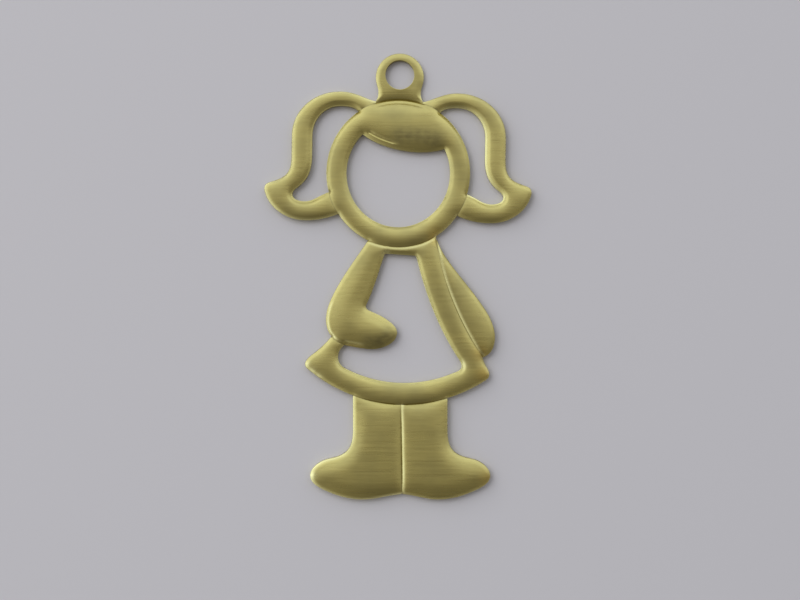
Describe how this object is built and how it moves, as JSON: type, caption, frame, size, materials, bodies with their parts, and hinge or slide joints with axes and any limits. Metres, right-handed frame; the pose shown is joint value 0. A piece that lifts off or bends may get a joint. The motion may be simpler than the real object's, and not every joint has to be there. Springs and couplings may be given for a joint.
{
  "type": "openwork pendant",
  "caption": "Flat brass pendant in the shape of a girl with pigtails, pierced and struck from sheet, with a loop on top to hang it from.",
  "frame": {"origin": "middle of the pendant's outline, on the surface that its back rests on", "axes": "+Z out of the struck front, +Y from the boots to the hanging loop, +X to the right of someone who looks at the front"},
  "size_m": [0.0244, 0.0408, 0.0011],
  "materials": {
    "brass": "raw yellow brass, finely brushed across the figure, slightly darker in the struck lines, brighter on worn edges"
  },
  "bodies": {
    "root": {"hanging_loop": "brass", "head_ring": "brass", "left_pigtail": "brass", "right_pigtail": "brass", "dress": "brass", "front_arm": "brass", "back_arm": "brass", "left_boot": "brass", "right_boot": "brass"}
  },
  "joints": []
}
